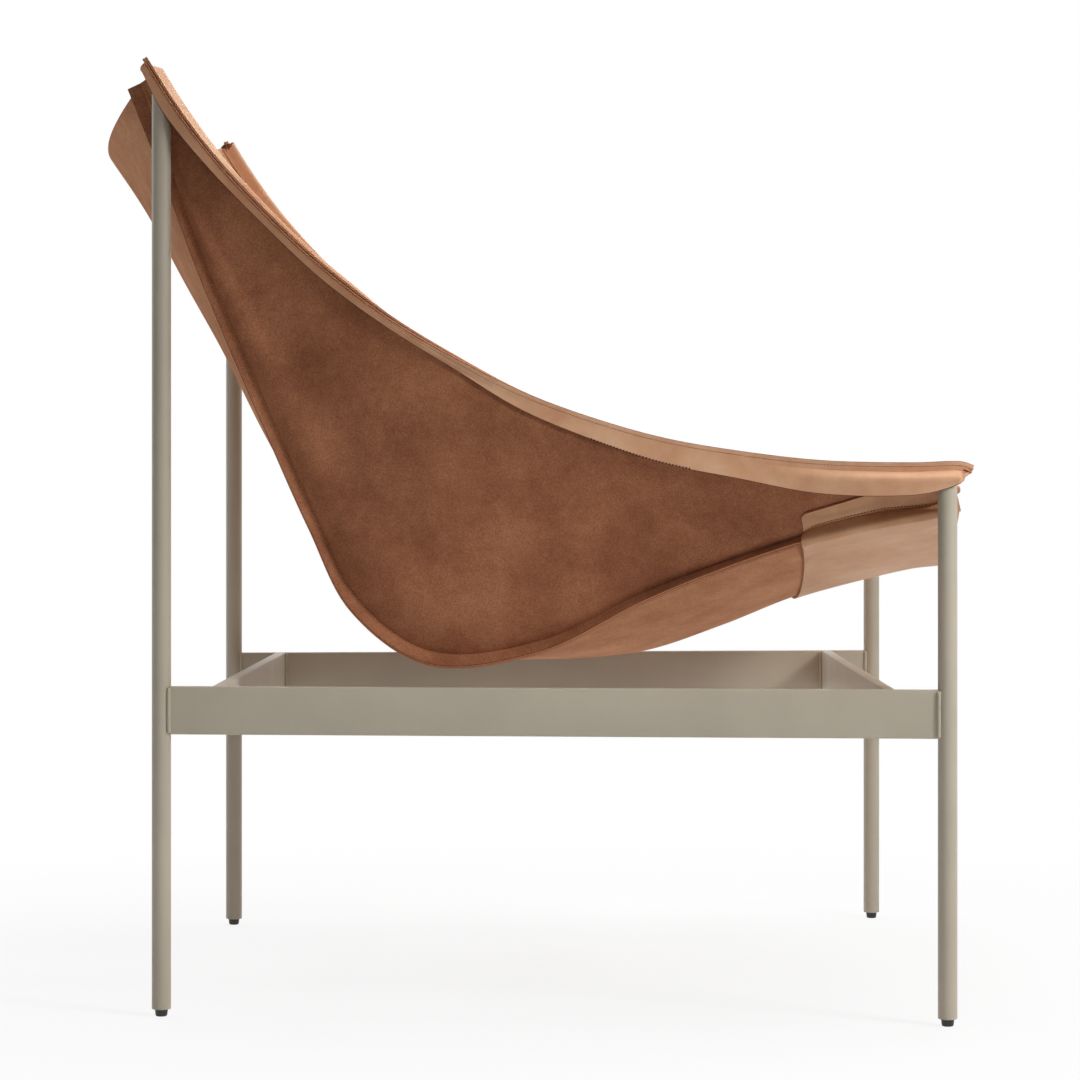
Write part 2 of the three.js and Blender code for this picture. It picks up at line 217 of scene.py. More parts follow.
# Powder-coated steel: baked polyester powder, so a satin skin with a very fine orange peel.
coatLook = {"dark": "#b8ae9b", "light": "#c2b8a5", "cloud": 90, "peel": 1.6}


def powderCoat(name, look):
    material, tree, shader = newMaterial(name, Roughness=0.46, IOR=1.5, Specular_IOR_Level=0.5)
    here = addNode(tree, "TexCoord").outputs["Object"]
    cloud = noiseAt(tree, here, look["cloud"], 3)
    peel = noiseAt(tree, here, look["peel"], 2, 0.5)
    colour = ramp(tree, cloud, [(0.3, look["dark"]), (0.7, look["light"])])
    tree.links.new(colour, shader.inputs["Base Color"])
    rough = addNode(tree, "MapRange", n0=peel, n1=0.3, n2=0.7, n3=0.42, n4=0.52)
    tree.links.new(rough.outputs[0], shader.inputs["Roughness"])
    tree.links.new(bump(tree, peel, 0.05, 0.5), shader.inputs["Normal"])
    return material


# Glides and caps: injection-moulded polyamide, black, with a fine spark-eroded skin.
def mouldedPlastic(name):
    material, tree, shader = newMaterial(name, Roughness=0.5, IOR=1.53)
    here = addNode(tree, "TexCoord").outputs["Object"]
    skin = noiseAt(tree, here, 0.9, 2)
    tree.links.new(ramp(tree, skin, [(0.3, "#171514"), (0.7, "#242120")]), shader.inputs["Base Color"])
    tree.links.new(bump(tree, skin, 0.05, 0.5), shader.inputs["Normal"])
    return material


# The hide under the seat is a lighter copy of the side panels' suede: painted light, standing in for
# light bounced up from the floor. The cuff's leather is a little darker than the band's.
suedeOuter = suede("suede_hide", suedeLook)
underBounceLightLook = {**suedeLook, "dark": "#b47b58", "middle": "#c68c67", "light": "#d69e79", "mottle": 60}
suedeUnderBounceLight = suede("suede_hide_under_seat_painted_bounce_light", underBounceLightLook)
smoothInner = smoothLeather("waxed_grain_leather", smoothLook)
cuffLook = {**smoothLook, "dark": "#c8926b", "middle": "#d5a179", "light": "#e0b18b"}
smoothCuff = smoothLeather("waxed_grain_leather_cuff", cuffLook)
rawEdge = cutEdge("raw_leather_edge", edgeLook)
rubbedAndShadedCorner = cutEdge("rubbed_and_painted_shade_leather_corner", rubbedAndShadedCornerLook)
thread = waxedThread("waxed_polyester_thread", "#a06f50", "#b98563", 0.6)
needleHole = waxedThread("needle_hole", "#2e1a11", "#43271a", 0.95)
coat = powderCoat("powder_coated_steel", coatLook)
plastic = mouldedPlastic("moulded_polyamide")
print("materials made")


# Hard pieces are modelled in edit mode: everything is deselected, then picked by place or direction.

def startEdit(piece, mode):
    bpy.ops.object.select_all(action="DESELECT")
    piece.select_set(True)
    bpy.context.view_layer.objects.active = piece
    bpy.ops.object.mode_set(mode="EDIT")
    bpy.ops.mesh.select_mode(type=mode)
    bpy.ops.mesh.select_all(action="DESELECT")
    bpy.ops.object.mode_set(mode="OBJECT")


def pick(piece, mode, wanted):
    startEdit(piece, mode)
    mesh = piece.data
    if mode == "FACE":
        for face in mesh.polygons:
            face.select = wanted(face.center, face.normal)
    else:
        for edge in mesh.edges:
            a, b = (mesh.vertices[k].co for k in edge.vertices)
            edge.select = wanted((a + b) / 2, (b - a).normalized())
    bpy.ops.object.mode_set(mode="EDIT")


def endEdit(smoothAngle=40):
    bpy.ops.mesh.select_all(action="SELECT")
    bpy.ops.mesh.normals_make_consistent(inside=False)
    bpy.ops.object.mode_set(mode="OBJECT")
    bpy.ops.object.shade_smooth_by_angle(angle=math.radians(smoothAngle))


def applyPlace(piece):
    bpy.ops.object.select_all(action="DESELECT")
    piece.select_set(True)
    bpy.context.view_layer.objects.active = piece
    bpy.ops.object.transform_apply(location=True, rotation=True, scale=True)


ends, hands = ("back", "front"), ("right", "left")

# Posts: round steel tube, cut square, with its edges broken before it is coated.
post = {"sides": 72, "wall": 1.5, "endPlate": 5, "brokenEdge": 0.8, "segments": 3}


def makePost(name):
    low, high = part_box(name)
    radius = (high.y - low.y) / 2
    middle = (low + high) / 2
    bpy.ops.mesh.primitive_cylinder_add(vertices=post["sides"], radius=radius, depth=high.z - low.z,
                                        location=middle)
    tube = bpy.context.object
    applyPlace(tube)
    pick(tube, "FACE", lambda at, facing: facing.z > 0.9)
    bpy.ops.mesh.inset(thickness=metres(post["wall"]))
    bpy.ops.mesh.extrude_region_move(
        TRANSFORM_OT_translate={"value": (0, 0, -(high.z - low.z) + metres(post["endPlate"]))})
    bpy.ops.object.mode_set(mode="OBJECT")
    nearRim = radius - metres(0.3)  # picks the two outer rims, not the bore's
    pick(tube, "EDGE", lambda at, along: abs(along.z) < 0.1 and (at - middle).xy.length > nearRim)
    bpy.ops.mesh.bevel(offset=metres(post["brokenEdge"]), segments=post["segments"], affect="EDGES")
    endEdit()
    finishPiece(tube, name + "_tube", "frame", "powder_coat", [coat], name)


for end in ends:
    for hand in hands:
        makePost(f"{end}_leg_{hand}")
print("posts made")

# Rails: flat bar on edge, its long edges eased.
rail = {"easedEdge": 1.1, "segments": 3, "intoTube": 1.9, "endGap": 0.4}


def makeBar(name, start, finish, thickness, low, high):
    run = finish - start
    bpy.ops.mesh.primitive_cube_add(size=1, location=((start.x + finish.x) / 2, (start.y + finish.y) / 2,
                                                      (low + high) / 2))
    bar = bpy.context.object
    bar.scale = (run.length, thickness, high - low)
    bar.rotation_euler.z = math.atan2(run.y, run.x)
    applyPlace(bar)
    direction = Vector((run.x, run.y, 0)).normalized()
    pick(bar, "EDGE", lambda at, along: abs(along.dot(direction)) > 0.9)
    bpy.ops.mesh.bevel(offset=metres(rail["easedEdge"]), segments=rail["segments"], affect="EDGES")
    endEdit(30)
    finishPiece(bar, name + "_bar", "frame", "powder_coat", [coat], name)


postRadius = (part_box("back_leg_left")[1].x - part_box("back_leg_left")[0].x) / 2
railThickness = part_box("back_cross_rail")[1].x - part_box("back_cross_rail")[0].x
for hand in hands:
    low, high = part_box(f"side_rail_{hand}")
    back, front = (middleOf(f"{end}_leg_{hand}").xy for end in ends)
    step = (front - back).normalized() * (postRadius - metres(rail["intoTube"]))
    makeBar(f"side_rail_{hand}", back + step, front - step, railThickness, low.z, high.z)
for end in ends:
    low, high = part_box(f"{end}_cross_rail")
    x = (low.x + high.x) / 2
    reach = high.y - metres(rail["endGap"])
    makeBar(f"{end}_cross_rail", Vector((x, -reach)), Vector((x, reach)), railThickness, low.z, high.z)
print("rails made")

# Weld beads: fillets laid by hand, so the coat shows their soft ripples.
bead = {"sides": 14, "radius": 1.7, "end": 0.55, "ripples": 18, "rippleDepth": 0.1, "length": 38,
        "bite": 0.6}


def makeBeadModel():
    bpy.ops.mesh.primitive_circle_add(vertices=bead["sides"], radius=metres(bead["radius"] * bead["end"]),
                                      fill_type="NGON", location=(0, 0, -metres(bead["length"] / 2)))
    model = bpy.context.object
    applyPlace(model)
    pick(model, "FACE", lambda at, facing: True)
    steps = 2 * bead["ripples"]
    pitch = metres(bead["length"] / (steps + 2))
    sizes = [bead["radius"] * (1 - bead["rippleDepth"] * (k % 2)) for k in range(steps + 1)]
    before = bead["radius"] * bead["end"]
    for size in [*sizes, before]:
        bpy.ops.mesh.extrude_region_move(TRANSFORM_OT_translate={"value": (0, 0, pitch)})
        bpy.ops.transform.resize(value=(size / before, size / before, 1))
        before = size
    endEdit(80)
    return model


beadModel = makeBeadModel()
beadNodes = sorted(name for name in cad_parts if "_weld_" in name)
for name in beadNodes:
    low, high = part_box(name)
    piece = beadModel.copy()
    piece.data = beadModel.data.copy()
    bpy.context.scene.collection.objects.link(piece)
    middle = (low + high) / 2
    legWeld = "_leg_" in name
    end, hand = name.split("_")[0], "right" if "_right" in name else "left"
    corner = middleOf(f"{end}_leg_{hand}") if legWeld else middleOf(f"{end}_cross_rail")
    nudge = Vector((corner.x - middle.x, corner.y - middle.y, 0)).normalized() * metres(bead["bite"])
    piece.data.transform(Matrix.Translation(middle + nudge))
    finishPiece(piece, name + "_bead", "frame", "powder_coat", [coat], name)
bpy.data.objects.remove(beadModel)
print("weld beads made:", len(beadNodes))

# Foot glides: a moulded foot, rounded underneath, with a stud pushed into the tube's end.
glide = {"sides": 56, "height": 6, "top": 5.5, "bottom": 4.8, "round": 1.3, "segments": 4, "stud": 3,
         "studLength": 14}


def makeGlide(name):
    low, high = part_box(name)
    at = (low + high) / 2
    bpy.ops.mesh.primitive_cone_add(
        vertices=glide["sides"], radius1=metres(glide["bottom"]), radius2=metres(glide["top"]),
        depth=metres(glide["height"]), location=(at.x, at.y, low.z + metres(glide["height"] / 2)))
    foot = bpy.context.object
    applyPlace(foot)
    pick(foot, "FACE", lambda at, facing: facing.z > 0.9)
    bpy.ops.mesh.inset(thickness=metres(glide["top"] - glide["stud"]))
    bpy.ops.mesh.extrude_region_move(TRANSFORM_OT_translate={"value": (0, 0, metres(glide["studLength"]))})
    bpy.ops.object.mode_set(mode="OBJECT")
    pick(foot, "EDGE", lambda at, along: abs(along.z) < 0.1 and at.z < low.z + metres(0.1))
    bpy.ops.mesh.bevel(offset=metres(glide["round"]), segments=glide["segments"], affect="EDGES")
    endEdit()
    finishPiece(foot, name + "_moulding", "frame", "glide", [plastic], name)


# Post caps: a moulded plug with a low dome, so that the tube's end doesn't cut the leather.
cap = {"sides": 56, "dome": [(1.0, 0.0), (0.98, 0.3), (0.9, 0.62), (0.75, 0.85), (0.5, 0.97), (0.2, 1.0)],
       "skirt": 6.2, "skirtLength": 14, "height": 3}


def makeCap(name):
    low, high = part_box(name)
    at, radius = (low + high) / 2, (high.y - low.y) / 2
    bpy.ops.mesh.primitive_circle_add(vertices=cap["sides"], radius=metres(cap["skirt"]), fill_type="NGON",
                                      location=(at.x, at.y, low.z))
    plug = bpy.context.object
    applyPlace(plug)
    pick(plug, "FACE", lambda at, facing: True)
    bpy.ops.mesh.extrude_region_move(TRANSFORM_OT_translate={"value": (0, 0, metres(cap["skirtLength"]))})
    before, height = metres(cap["skirt"]), 0
    for share, rise in cap["dome"]:
        bpy.ops.mesh.extrude_region_move(
            TRANSFORM_OT_translate={"value": (0, 0, metres(cap["height"]) * (rise - height))})
        bpy.ops.transform.resize(value=(radius * share / before, radius * share / before, 1))
        before, height = radius * share, rise
    endEdit(50)
    finishPiece(plug, name + "_moulding", "frame", "glide", [plastic], name)


for end in ends:
    for hand in hands:
        makeGlide(f"{end}_foot_glide_{hand}")
        makeCap(f"{end}_post_cap_{hand}")
print("glides and caps made")

# The sling, in millimetres: along 0 is at the back posts and 1 at the front ones, u runs from the
# sling's back end to its front end. Sections are made for the left side and mirrored for the right.
sling = {"leather": 2.0, "gap": 0.3, "lowest": 281, "rows": 230,
         "noseRows": [0.9938, 0.9972, 0.9981, 0.9989, 0.9995]}

# The pocket along each long edge. It is open around a post and closed between the two: held gives, for
# the back and the front post, how far it stays open and then tapers; mouth gives the same at the ends.
pocket = {
    "edgeBow": 10, "margin": 8, "frontMargin": 0.9, "crown": (5.2, 2.6), "crest": (5.25, 3.45),
    "crownRun": 0.27, "held": ((26, 50), (20, 150)), "mouth": (10, 30),
    "seamTurns": (0.29, 0.54),  # where the seam turns from outwards to upwards
    "backEnd": 0.03, "frontEnd": 0.982, "nose": 0.9962,  # where the ends start to be trimmed and rounded
    "tips": {"right": 0, "left": 4},  # how far each side's raw edges are cut back at the back end
    # Over the post: share of the way across, rise at the back, fall at the front, then how far the point
    # is set back at the back end and trimmed at the front end.
    "arch": ((0.22, 0.34, 0.15, 9, 4), (0.58, 0.8, 0.35, 11, 6), (0.86, 1, 0.48, 12.6, 7.5),
             (1, 0.7, 0.6, 13.5, 8.5)),
}

# The side panel: it tucks in towards the lower seam, and its ear bulges at the front.
sidePanel = {
    "seamMargin": 13.5, "bodyDrop": 4.5, "seatBulge": 6, "tuck": 6.0, "tuckStart": 0.66, "tuckEase": 1.6,
    "waver": 0.9, "waverSize": 95, "earStart": 0.94, "earBulge": 3.5, "facing": 1.2, "skiveShare": 0.009,
    "cutBack": 7.2, "besideStitches": (2.2, 7), "shares": (0.08, 0.22, 0.45, 0.68, 0.84, 0.93),
    "fan": {"back": 0.018, "front": 0.99, "pull": 0.065, "power": 6},  # the rows spread from the top edge
}

# The outer band: the share of its full width that hangs below the seam, from back to front.
outerBand = {"width": 30, "shares": [0.3, 0.41, 0.34, 0.28, 0.3, 0.28, 0.32, 0.48, 0.58, 0.7, 0.77, 0.93,
                                     0.9, 0.61, 0.2]}

# The front cuff: its top edge is cut straight, from a share of the panel's height at its start, and it
# spans from its fold to the belly as a taut strip.
frontCuff = {
    "start": 11 / 14, "press": 0.75,  # how much of the seam's turn is left under the cuff
    "room": (0.74, 0.9), "corner": 2.5, "cutShare": 0.58, "cutSlope": 0.306, "rows": 70,
    "spans": 3, "taut": 0.85,
}

# Lines read from the photo, as along and height share, from the sling's lowest point to the posts' tops.
# The seam's middle number is its share of the half width. The keel is the sling's middle line.
edgeStations = [
    (-0.017, 1.039), (0.019, 0.987), (0.069, 0.928), (0.138, 0.865), (0.215, 0.807),
    (0.3, 0.759), (0.384, 0.728), (0.468, 0.704), (0.553, 0.7), (0.645, 0.714),
    (0.744, 0.761), (0.846, 0.842), (0.959, 1.003), (1.017, 1.124), (1.033, 1.142),
]
seamStations = [
    (-0.048, 0.927, 0.976), (-0.004, 0.931, 0.859), (0.036, 0.915, 0.732), (0.077, 0.89, 0.611),
    (0.128, 0.855, 0.461), (0.183, 0.813, 0.291), (0.238, 0.779, 0.134), (0.338, 0.736, 0.027),
    (0.484, 0.732, 0.062), (0.622, 0.778, 0.225), (0.729, 0.831, 0.369), (0.821, 0.886, 0.51),
    (0.921, 0.933, 0.679), (0.985, 0.954, 0.808), (1.018, 0.956, 0.899),
]
keelStations = [
    (-0.122, 0.868), (-0.07, 0.799), (-0.013, 0.695), (0.041, 0.591), (0.1, 0.452),
    (0.165, 0.306), (0.235, 0.17), (0.338, 0.036), (0.478, 0.014), (0.622, 0.041),
    (0.737, 0.142), (0.839, 0.283), (0.941, 0.434), (1.005, 0.546), (1.045, 0.61),
]
flangeTurns = [14, 15, 17, 20, 24, 28, 36, 50, 66, 80, 90, 90, 86, 94, 62]  # degrees, at each station

backCentre, frontCentre = (middleOf(f"{end}_leg_left") * 1000 for end in ends)
backPostTop, frontPostTop = (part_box(f"{end}_post_cap_left")[1].z * 1000 for end in ends)
legSpacing = frontCentre.x - backCentre.x
tubeRadius = postRadius * 1000
plyStep = sling["leather"] + sling["gap"]
pocketDepth = 2 * tubeRadius + 2 * sling["gap"] + sling["leather"] - plyStep


def xAt(along):
    return mix(backCentre.x, frontCentre.x, along)


def halfWidthAt(along):
    return mix(backCentre.y, frontCentre.y, along)


def heightAt(along, share):
    return sling["lowest"] + share * (mix(backPostTop, frontPostTop, along) - sling["lowest"])


def curveThrough(points):
    last = len(points) - 1
    padded = [points[0] * 2 - points[1], *points, points[-1] * 2 - points[-2]]

    def place(u):
        along = min(max(u, 0.0), 1.0) * last
        k = min(int(along), last - 1)
        share = along - k
        before, here, there, beyond = padded[k:k + 4]
        d0, d1, d2 = (max((b - a).length_squared, 1e-12) ** 0.25
                      for a, b in ((before, here), (here, there), (there, beyond)))
        leave = ((here - before) / d0 - (there - before) / (d0 + d1) + (there - here) / d1) * d1
        arrive = ((there - here) / d1 - (beyond - here) / (d1 + d2) + (beyond - there) / d2) * d1
        bend = (there - here) * 3 - leave * 2 - arrive
        ease = (here - there) * 2 + leave + arrive
        return here + leave * share + bend * share ** 2 + ease * share ** 3

    return place


def heading(line, u):
    return (line(u + 0.0001) - line(u - 0.0001)).normalized()


def tableAt(values, u):
    last = len(values) - 1
    along = min(max(u, 0.0), 1.0) * last
    k = min(int(along), last - 1)
    share = along - k
    before, here, there, beyond = (values[min(max(k + d, 0), last)] for d in (-1, 0, 1, 2))
    leave, arrive = (there - before) / 2, (beyond - here) / 2
    return (here + leave * share + (3 * (there - here) - 2 * leave - arrive) * share ** 2
            + (2 * (here - there) + leave + arrive) * share ** 3)


edgeLine = curveThrough([Vector((xAt(a), 0, heightAt(a, h))) for a, h in edgeStations])
seamLine = curveThrough([Vector((xAt(a), c * halfWidthAt(a), heightAt(a, h))) for a, c, h in seamStations])
keelLine = curveThrough([Vector((xAt(a), 0, heightAt(a, h))) for a, h in keelStations])


def pocketOpening(x):
    total = 0
    for postX, inward, inside in zip((backCentre.x, frontCentre.x), (1, -1), pocket["held"]):
        past = (x - postX) * inward
        held, taper = inside if past > 0 else pocket["mouth"]
        total += 1 - smoothstep(abs(past), held, held + taper)
    return total


def cuffRoom(u):
    return plyStep * smoothstep(u, *frontCuff["room"])


def topSection(u):
    point, tangent = edgeLine(u), heading(edgeLine, u)
    along = (point.x - backCentre.x) / legSpacing
    drawnIn = pocket["edgeBow"] * max(0, 4 * along * (1 - along))
    panelOut = (halfWidthAt(along) - tubeRadius - sling["gap"] - sling["leather"] / 2 - drawnIn
                - cuffRoom(u))
    up = Vector((-tangent.z, 0, tangent.x))
    early = max(0, 1 - u / pocket["backEnd"]) ** 2
    late = max(0, (u - pocket["frontEnd"]) / (1 - pocket["frontEnd"])) ** 2

    def at(out, rise, setBack=0, trim=0):
        place = Vector((point.x, panelOut + out, point.z)) + up * rise
        return place + tangent * (setBack * early - trim * late)

    turn = smoothstep(u, *pocket["seamTurns"])
    cos, sin = math.cos(turn * math.pi / 2), math.sin(turn * math.pi / 2)
    opened = pocketDepth * pocketOpening(point.x) + cuffRoom(u)
    nose = math.sqrt(max(0, 1 - max(0, (u - pocket["nose"]) / (1 - pocket["nose"])) ** 2))
    margin = pocket["margin"] * mix(1, pocket["frontMargin"], smoothstep(u, 0.95, 1)) * mix(0.5, 1, nose)
    crown, crest = (mix(*pocket[name], smoothstep(u, 0, pocket["crownRun"])) for name in ("crown", "crest"))
    root = (mix(opened + plyStep, opened / 2, turn), (crest - crown) * cos - margin * sin)
    bandRoot = (root[0] + plyStep * sin, root[1] - plyStep * cos)
    foot = root[1] - mix(crown * 0.5, margin, turn)
    return {"at": at, "turn": turn, "cos": cos, "sin": sin, "open": opened, "margin": margin,
            "crown": crown, "root": root, "bandRoot": bandRoot, "foot": foot}


def panelFrame(u):
    fan = sidePanel["fan"]
    section = topSection(mix(fan["back"], fan["front"], u) - fan["pull"] * u ** fan["power"])
    top = section["at"](0, section["foot"] - sidePanel["bodyDrop"])
    seam = seamLine(u)
    down = (seam - top).normalized()
    inward = heading(seamLine, u).cross(down).normalized()
    if inward.y > 0:
        inward.negate()
    underCuff = smoothstep(u, frontCuff["start"] - 0.006, frontCuff["start"] + 0.012)
    pressed = mix(1, frontCuff["press"], underCuff)
    turn = math.radians(tableAt(flangeTurns, u) * pressed)
    margin = down * math.cos(turn) - inward * math.sin(turn)
    normal = inward * math.cos(turn) + down * math.sin(turn)
    stitch = seam - margin * sidePanel["seamMargin"]
    swell = sidePanel["seatBulge"] * math.sin(math.pi * u) ** 2
    tuck = sidePanel["tuck"] * math.sin(math.pi * u) ** 0.5 if 0 < u < 1 else 0
    ear = sidePanel["earBulge"] * smoothstep(u, sidePanel["earStart"], 1)
    forward = heading(seamLine, u)

    def flat(share):
        point, middle, start = top.lerp(stitch, share), math.sin(math.pi * share), sidePanel["tuckStart"]
        nearSeam = min(max((share - start) / (1 - start), 0), 1)
        waver = noise.noise(point / sidePanel["waverSize"]) * sidePanel["waver"]
        point.y += (swell + waver) * middle + tuck * math.sin(math.pi * nearSeam ** sidePanel["tuckEase"])
        return point + forward * ear * middle

    return {"seam": seam, "stitch": stitch, "inward": inward, "margin": margin, "normal": normal,
            "down": down, "flat": flat, "length": (stitch - top).length}


# A row is a list of key points; each stretch between two of them is cut into the same number of
# columns in every row, so a stitch line is one column.
panelSteps = [3, 3, 2, 3, 3, 3, 3, 2, 2, 2, 3, 5, 5, 4, 3, 3, 3, 4, 3, 2]
facingKeys = (7, 9, 10)  # the facing starts in the fold at the crest and ends in a skived edge
marginShares = (1, 0.55, 0.12)  # from the raw edges of the pocket's seam down to its stitches


def sidePanelKeys(u, tip):
    top = topSection(u)
    at, turn, cos, sin = top["at"], top["turn"], top["cos"], top["sin"]
    (out, rise), margin = top["root"], top["margin"]
    arch = [at(out * (1 - inShare), rise + mix(top["crown"] * up, -margin * fall, turn), setBack, trim)
            for inShare, up, fall, setBack, trim in pocket["arch"]]
    low = panelFrame(u)
    flat, near = low["flat"], sidePanel["besideStitches"][0]
    setBacks = [max(tip, sidePanel["cutBack"] * (1 - share)) for share in (*marginShares, 0)]
    onMargin = [at(out + margin * share * cos, rise + margin * share * sin, setBack)
                for share, setBack in zip(marginShares, setBacks)]
    return [*onMargin, at(out, rise, setBacks[-1], 2), *arch, at(0, top["foot"], 16, 8.5),
            *[flat(share) for share in (0, sidePanel["skiveShare"], *sidePanel["shares"])],
            flat(max(0.96, 1 - near / low["length"])), low["stitch"],
            *[low["stitch"] + low["margin"] * beyond for beyond in sidePanel["besideStitches"]], low["seam"]]


bandSteps = [3, 3, 2, 4, 4, 4, 3]


# The band comes down from the seam's stitches over a soft shoulder and hangs outside the post.
def outerBandKeys(u, tip):
    top = topSection(u)
    at, cos, sin, margin = top["at"], top["cos"], top["sin"], top["margin"]
    out, rise = top["bandRoot"]
    width = outerBand["width"] * tableAt(outerBand["shares"], u)
    far = top["open"] + plyStep
    fall = min(margin, rise + width)
    shoulder = rise - fall * 0.8
    onMargin = [at(out + margin * share * cos, rise + margin * share * sin, tip) for share in marginShares]
    return [*onMargin, at(out, rise, tip + 1.5, 1), at(mix(out, far, 0.5), rise - fall * 0.3, tip + 2, 3),
            at(far, shoulder, tip + 3, 6), at(far, mix(shoulder, -width, 0.6), tip + 4, 7.5),
            at(far, -width, tip + 6, 7)]


# The centre panel, from one seam to its middle line, with shallow dips where the hide has stretched.
centrePanel = {"shares": (1, 0.975, 0.94, 0.88, 0.78, 0.66, 0.54, 0.42, 0.3, 0.2, 0.1, 0),
               "dip": 1.2, "dipSize": 120}
halfSteps = [3, 3, 3, 3, 3, 3, 3, 3, 2, 2, 2, 2, 2, 2]


def centreHalfKeys(u):
    low = panelFrame(u)
    edge = low["stitch"] + low["normal"] * plyStep
    keel = keelLine(u)

    def across(share):
        point = edge.lerp(keel, 1 - share * share)
        point.y = edge.y * share
        dip = noise.noise(Vector((point.x, point.y, 400)) / centrePanel["dipSize"]) * centrePanel["dip"]
        return point + Vector((0, 0, dip * (1 - share ** 4)))

    return [low["seam"] + low["normal"] * plyStep,
            *[edge + low["margin"] * beyond for beyond in sidePanel["besideStitches"][::-1]],
            *[across(share) for share in centrePanel["shares"]]]


cuffSteps = [3, 4, 5, 5, 4, 4, 3, 3, 3, 3, *halfSteps[3:]]


# How far down the panel the cuff's straight top edge crosses it, found by halving.
def cuffTopShare(low):
    corner, flat = panelFrame(frontCuff["start"])["flat"](frontCuff["cutShare"]), low["flat"]
    above, below = 0.1, 0.98
    for halving in range(16):
        middle = (above + below) / 2
        point = flat(middle)
        if point.z > corner.z + frontCuff["cutSlope"] * (point.x - corner.x):
            above = middle
        else:
            below = middle
    return below


def cuffHalfKeys(u):
    low = panelFrame(u)
    start = cuffTopShare(low)
    corner = frontCuff["corner"]
    fromEdge = min((seamLine(u) - seamLine(frontCuff["start"])).length, corner)
    drop = corner - math.sqrt(max(corner ** 2 - (corner - fromEdge) ** 2, 0))
    start += drop / low["length"]
    on = [low["flat"](mix(start, 1, share)) - low["inward"] * plyStep for share in (0, 0.12, 0.4, 0.75)]
    bisector = (low["inward"] + low["normal"]) / (1 + low["inward"].dot(low["normal"]))

    def around(inwards, beyond):
        return low["seam"] + low["normal"] * inwards + low["margin"] * beyond

    here = centreHalfKeys(u)[3:]
    step = 0.004
    before, after = centreHalfKeys(u - step)[3:], centreHalfKeys(min(1, u + step))[3:]
    under = []
    for k in range(1, len(here)):
        lengthways = after[k] - before[k]
        beyond = here[k + 1] if k + 1 < len(here) else mirrored(here[k - 1])
        normal = lengthways.cross(here[k - 1] - beyond).normalized()
        under.append(here[k] + normal * (-plyStep if normal.z > 0 else plyStep))
    # The cuff spans straight from the fold to the belly instead of following the panel into the crease.
    fold, landing = around(plyStep * 2, -1), under[frontCuff["spans"]]
    for k in range(frontCuff["spans"]):
        taut = fold.lerp(landing, (fold - under[k]).length / (fold - landing).length)
        under[k] = under[k].lerp(taut, frontCuff["taut"])
    crease = low["stitch"] - bisector * plyStep
    return [*on, crease, crease + low["margin"] * (sidePanel["seamMargin"] * 0.5), around(-plyStep, 0),
            around(-plyStep * 0.6, plyStep * 0.8), around(plyStep * 1.4, plyStep * 0.8), fold, *under]


def mirrored(point):
    return Vector((point.x, -point.y, point.z))


def rowThrough(keys, steps):
    place = curveThrough(keys)
    cuts = [(k + s / count) / len(steps) for k, count in enumerate(steps) for s in range(count)]
    return [place(cut) for cut in cuts] + [keys[-1]]


def columnOf(steps, key):
    return sum(steps[:key])


def bothSides(half):
    return [*[mirrored(point) for point in half], *half[-2::-1]]


# A sheet of hide around the grid of points through its middle: outer face, inner face, cut edge.
def gridNormals(rows, facing):
    def direction(a, b):
        return (b - a).normalized()

    normals = []
    for i, row in enumerate(rows):
        line = []
        for j, point in enumerate(row):
            lengthways = direction(rows[max(i - 1, 0)][j], rows[min(i + 1, len(rows) - 1)][j])
            crossways = direction(row[max(j - 1, 0)], row[min(j + 1, len(row) - 1)])
            line.append(lengthways.cross(crossways).normalized())
        normals.append(line)
    centre = normals[len(rows) // 2][len(rows[0]) // 2]
    sign = 1 if centre.dot(facing) > 0 else -1
    return [[normal * sign for normal in line] for line in normals]


def rimOf(m, n):
    return ([(i, 0) for i in range(m)] + [(m - 1, j) for j in range(1, n)]
            + [(i, n - 1) for i in range(m - 2, -1, -1)] + [(0, j) for j in range(n - 2, 0, -1)])


cutEdges = {"shown": 0.36, "hidden": 0.2, "bend": math.sqrt(0.5)}  # corner radii in millimetres


